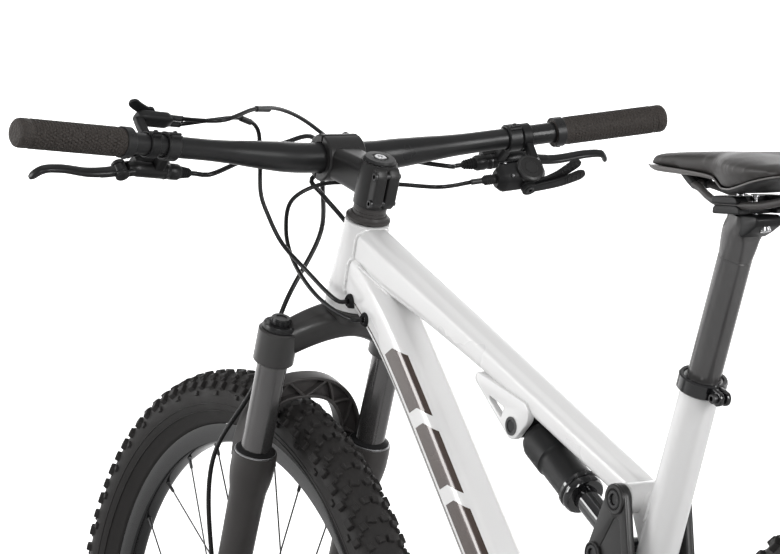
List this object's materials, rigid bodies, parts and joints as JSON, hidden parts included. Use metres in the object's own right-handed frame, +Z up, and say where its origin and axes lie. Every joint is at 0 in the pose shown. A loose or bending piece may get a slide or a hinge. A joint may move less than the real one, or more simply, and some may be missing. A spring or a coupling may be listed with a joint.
{
  "type": "full suspension mountain bike",
  "caption": "Full suspension mountain bike: white alloy frame with a rocker-driven shock, air fork, disc brakes, knobbly tyres, flat bar, chain drive and saddle.",
  "frame": {"origin": "on the ground, midway between the two wheel contacts in the plane of the frame", "axes": "+X towards the front wheel, +Y to the left of the rider, +Z up"},
  "size_m": [1.913, 0.7844, 1.0465],
  "materials": {
    "pearl_paint": "gloss pearl white",
    "black_alloy": "satin black anodised",
    "gloss_black": "gloss black",
    "matt_black": "matt black",
    "silver_steel": "brushed",
    "alloy_bare": "satin",
    "tyre": "moulded rubber",
    "grip_rubber": "textured rubber",
    "saddle_cover": "smooth synthetic",
    "housing": "smooth plastic cable housing",
    "black_plastic": "moulded"
  },
  "bodies": {
    "front_triangle": {"front_frame": "pearl_paint", "bottom_bracket": "black_alloy", "seat_collar": "black_alloy", "shift_cable": "housing", "rear_brake_hose": "housing", "remote_cable_shock": "housing"},
    "seat": {"seatpost": "gloss_black", "seatpost_clamp": "black_alloy", "saddle_rails": "matt_black", "saddle_base": "black_plastic", "saddle_cover": "saddle_cover"},
    "steering": {"fork_crown": "black_alloy", "stanchion_left": "gloss_black", "stanchion_right": "gloss_black", "headset_cover": "black_alloy", "stem": "black_alloy", "stem_faceplate": "black_alloy", "stem_top_cap": "alloy_bare", "handlebar": "matt_black", "grip_left": "grip_rubber", "grip_right": "grip_rubber", "brake_body_left": "black_alloy", "brake_body_right": "black_alloy", "shifter_body": "black_plastic", "remote_body": "black_plastic", "remote_cable_fork": "housing", "front_brake_hose": "housing"},
    "brake_lever_left": {"brake_lever_left": "matt_black"},
    "brake_lever_right": {"brake_lever_right": "matt_black"},
    "shift_lever_main": {"shift_lever_main": "black_plastic"},
    "shift_lever_release": {"shift_lever_release": "black_plastic"},
    "remote_lever": {"remote_lever": "black_plastic"},
    "fork_lowers": {"fork_lowers": "matt_black", "front_caliper": "black_alloy"},
    "front_wheel": {"front_tyre": "tyre", "front_rim": "matt_black", "front_spokes": "gloss_black", "front_hub": "black_alloy", "front_rotor": "silver_steel"},
    "chainstays": {"chainstays": "matt_black", "rear_caliper": "black_alloy", "derailleur_body": "black_alloy", "chain": "silver_steel"},
    "seatstays": {"seatstays": "matt_black"},
    "rocker": {"rocker_link": "black_alloy"},
    "shock_body": {"shock_body": "gloss_black"},
    "shock_shaft": {"shock_shaft": "gloss_black"},
    "rear_wheel": {"rear_tyre": "tyre", "rear_rim": "matt_black", "rear_spokes": "gloss_black", "rear_hub": "black_alloy", "rear_rotor": "silver_steel"},
    "cassette": {"cassette": "silver_steel"},
    "crank": {"crankset": "black_alloy", "crank_arm_left": "black_alloy"},
    "pedal_left": {"pedal_left": "black_alloy"},
    "pedal_right": {"pedal_right": "black_alloy"},
    "derailleur_cage": {"derailleur_cage": "black_alloy"},
    "upper_pulley": {"upper_pulley": "black_plastic"},
    "lower_pulley": {"lower_pulley": "black_plastic"}
  },
  "joints": [
    {"name": "steering", "type": "hinge", "parent": "front_triangle", "child": "steering", "pos_m": [0.35614, 0, 0.82596], "axis": [-0.3714, 0, 0.9285], "range_deg": [-60, 60], "deforming": ["shift_cable", "rear_brake_hose", "remote_cable_shock"]},
    {"name": "fork_travel", "type": "slide", "parent": "steering", "child": "fork_lowers", "axis": [-0.3714, 0, 0.9285], "range_m": [0, 0.1], "stiffness_N_per_m": 6000, "deforming": ["front_brake_hose"]},
    {"name": "front_wheel_spin", "type": "hinge", "parent": "fork_lowers", "child": "front_wheel", "pos_m": [0.5855, 0, 0.371], "axis": [0, 1, 0], "continuous": true},
    {"name": "brake_left_pull", "type": "hinge", "parent": "steering", "child": "brake_lever_left", "pos_m": [0.3877, 0.25, 0.97316], "axis": [0.6691, 0, 0.7431], "range_deg": [0, 15], "stiffness_Nm_per_rad": 2},
    {"name": "brake_right_pull", "type": "hinge", "parent": "steering", "child": "brake_lever_right", "pos_m": [0.3877, -0.25, 0.97316], "axis": [-0.6691, 0, -0.7431], "range_deg": [0, 15], "stiffness_Nm_per_rad": 2},
    {"name": "shift_main_push", "type": "hinge", "parent": "steering", "child": "shift_lever_main", "pos_m": [0.32731, -0.204, 0.94677], "axis": [0.6691, 0, 0.7431], "range_deg": [0, 18], "stiffness_Nm_per_rad": 0.6},
    {"name": "shift_release_push", "type": "hinge", "parent": "steering", "child": "shift_lever_release", "pos_m": [0.32731, -0.204, 0.94677], "axis": [0.6691, 0, 0.7431], "range_deg": [0, 10], "stiffness_Nm_per_rad": 0.6},
    {"name": "remote_push", "type": "hinge", "parent": "steering", "child": "remote_lever", "pos_m": [0.39389, 0.214, 1.02923], "axis": [0.6691, 0, 0.7431], "range_deg": [0, 15], "stiffness_Nm_per_rad": 0.6},
    {"name": "seat_height", "type": "slide", "parent": "front_triangle", "child": "seat", "axis": [-0.3891, 0, 0.9212], "range_m": [-0.1, 0.03]},
    {"name": "rear_travel", "type": "hinge", "parent": "front_triangle", "child": "chainstays", "pos_m": [-0.128, 0, 0.392], "axis": [0, 1, 0], "range_deg": [0, 12.5], "stiffness_Nm_per_rad": 3000, "deforming": ["chain"]},
    {"name": "seatstay_pivot", "type": "hinge", "parent": "chainstays", "child": "seatstays", "pos_m": [-0.572, 0, 0.398], "axis": [0, 1, 0], "range_deg": [-1, 1]},
    {"name": "rocker_pivot", "type": "hinge", "parent": "front_triangle", "child": "rocker", "pos_m": [-0.17, 0, 0.683], "axis": [0, 1, 0], "range_deg": [-32, 1]},
    {"name": "shock_swing", "type": "hinge", "parent": "front_triangle", "child": "shock_body", "pos_m": [0.025, 0, 0.731], "axis": [0, 1, 0], "range_deg": [-1, 4]},
    {"name": "shock_stroke", "type": "slide", "parent": "shock_body", "child": "shock_shaft", "axis": [0.8434, 0, 0.5373], "range_m": [-0.001, 0.034]},
    {"name": "rear_wheel_spin", "type": "hinge", "parent": "chainstays", "child": "rear_wheel", "pos_m": [-0.5855, 0, 0.371], "axis": [0, 1, 0], "continuous": true},
    {"name": "cassette_spin", "type": "hinge", "parent": "chainstays", "child": "cassette", "pos_m": [-0.5855, 0, 0.371], "axis": [0, 1, 0], "continuous": true},
    {"name": "crank_spin", "type": "hinge", "parent": "front_triangle", "child": "crank", "pos_m": [-0.151, 0, 0.337], "axis": [0, 1, 0], "continuous": true},
    {"name": "pedal_left_spin", "type": "hinge", "parent": "crank", "child": "pedal_left", "pos_m": [-0.2889, 0, 0.44474], "axis": [0, 1, 0], "continuous": true},
    {"name": "pedal_right_spin", "type": "hinge", "parent": "crank", "child": "pedal_right", "pos_m": [-0.0131, 0, 0.22926], "axis": [0, 1, 0], "continuous": true},
    {"name": "cage_swing", "type": "hinge", "parent": "chainstays", "child": "derailleur_cage", "pos_m": [-0.5655, 0, 0.309], "axis": [0, 1, 0], "range_deg": [-15, 15], "stiffness_Nm_per_rad": 1.5, "deforming": ["chain"]},
    {"name": "upper_pulley_spin", "type": "hinge", "parent": "derailleur_cage", "child": "upper_pulley", "pos_m": [-0.5555, 0, 0.297], "axis": [0, 1, 0], "continuous": true},
    {"name": "lower_pulley_spin", "type": "hinge", "parent": "derailleur_cage", "child": "lower_pulley", "pos_m": [-0.51288, 0, 0.2223], "axis": [0, 1, 0], "continuous": true}
  ],
  "couplings": [
    {"joint": "seatstay_pivot", "follows": "rear_travel", "ratio": -0.01515},
    {"joint": "rocker_pivot", "follows": "rear_travel", "ratio": -2.4801},
    {"joint": "shock_swing", "follows": "rear_travel", "ratio": 0.27171},
    {"joint": "shock_stroke", "follows": "rear_travel", "m_per_rad": 0.15035},
    {"joint": "cassette_spin", "follows": "crank_spin", "ratio": 1.7143},
    {"joint": "upper_pulley_spin", "follows": "crank_spin", "ratio": -3},
    {"joint": "lower_pulley_spin", "follows": "crank_spin", "ratio": 3}
  ]
}
